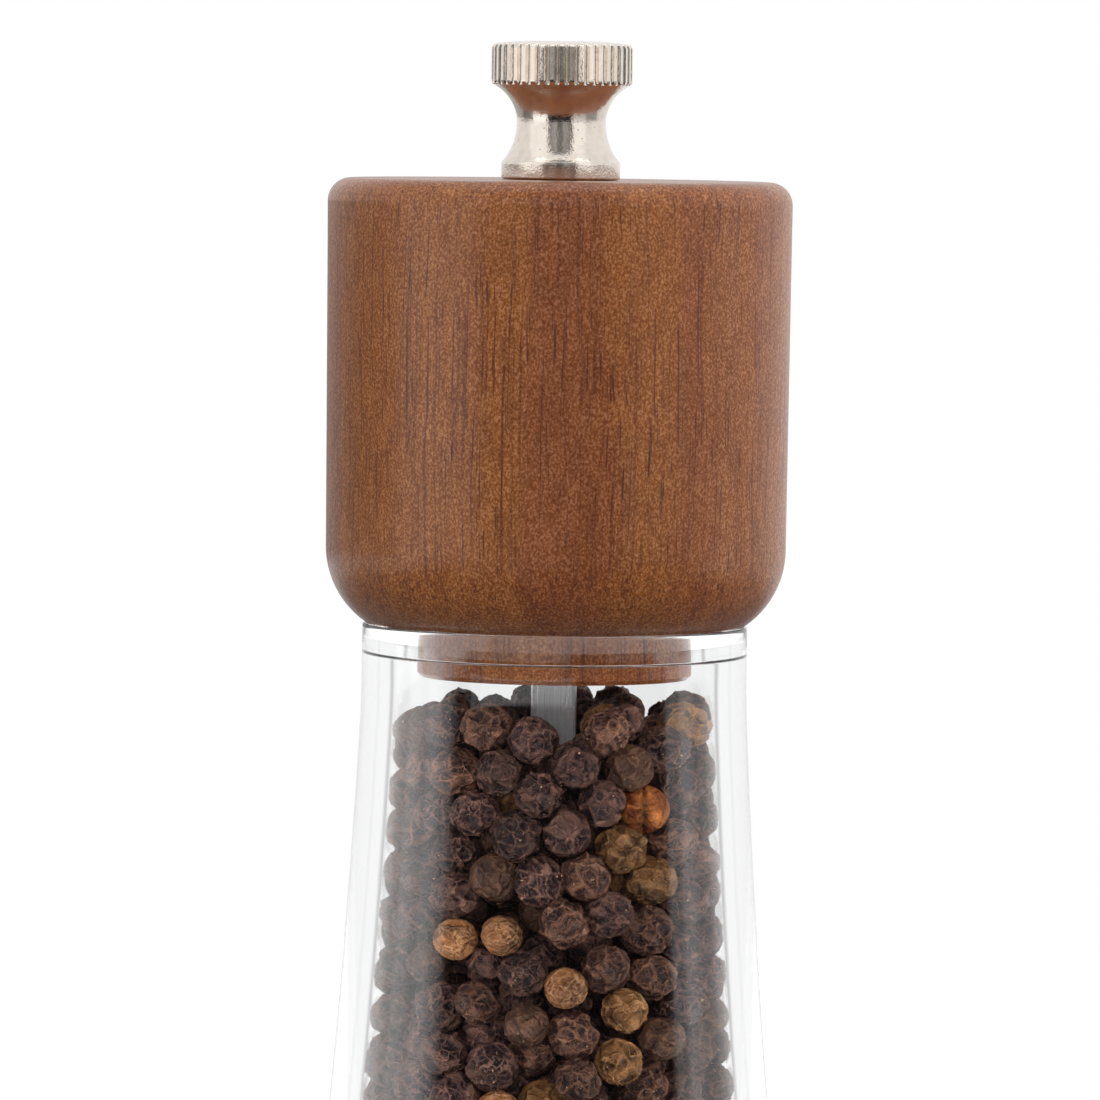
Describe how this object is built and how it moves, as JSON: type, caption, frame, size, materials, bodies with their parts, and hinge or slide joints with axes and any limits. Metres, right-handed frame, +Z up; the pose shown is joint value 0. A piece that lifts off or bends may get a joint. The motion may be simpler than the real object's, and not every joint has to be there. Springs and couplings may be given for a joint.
{
  "type": "pepper mill",
  "caption": "Hand pepper mill with a knurled adjusting nut, a turned wooden head, a clear flared body and a cone grinder in its foot.",
  "frame": {"origin": "centre of the flat foot, on the surface that the mill stands on", "axes": "+Z up along the shaft's axis; the retaining bar under the foot lies along X"},
  "size_m": [0.0582, 0.0582, 0.165],
  "materials": {
    "clear_acrylic": "clear, polished",
    "stained_wood": "brown stain under satin lacquer",
    "nickel_plate": "polished nickel plate",
    "shaft_aluminium": "drawn, faintly lined",
    "black_plastic": "moulded, fine grain",
    "natural_nylon": "moulded",
    "burr_steel": "hardened, oiled",
    "zinc_steel": "zinc plated",
    "spring_wire": "bright drawn wire",
    "peppercorn": "dry, wrinkled"
  },
  "bodies": {
    "stand": {"clear_body": "clear_acrylic", "grinder_housing": "black_plastic", "stator_ring": "burr_steel", "retaining_bar": "zinc_steel", "bar_screws": "zinc_steel"},
    "bush": {"spring_seat": "natural_nylon", "rotor_spring": "spring_wire"},
    "shaft": {"drive_shaft": "shaft_aluminium", "rotor_burr": "burr_steel", "shaft_clip": "zinc_steel"},
    "head": {"wooden_head": "stained_wood", "drive_plate": "zinc_steel", "plate_screws": "zinc_steel"},
    "nut": {"adjusting_nut": "nickel_plate"}
  },
  "joints": [
    {"name": "grind_turn", "type": "hinge", "parent": "stand", "child": "bush", "pos_m": [0, 0, 0.0257], "axis": [0, 0, 1], "continuous": true},
    {"name": "grind_adjust", "type": "slide", "parent": "bush", "child": "shaft", "axis": [0, 0, 1], "range_m": [-0.00161, 0.00081], "deforming": ["rotor_spring"]},
    {"name": "head_lift", "type": "slide", "parent": "bush", "child": "head", "axis": [0, 0, 1], "range_m": [0, 0.063]},
    {"name": "nut_turn", "type": "hinge", "parent": "head", "child": "nut", "pos_m": [0, 0, 0.156], "axis": [0, 0, 1], "range_deg": [-360, 720]}
  ],
  "couplings": [
    {"joint": "grind_adjust", "follows": "nut_turn", "m_per_rad": -0.00012732}
  ]
}
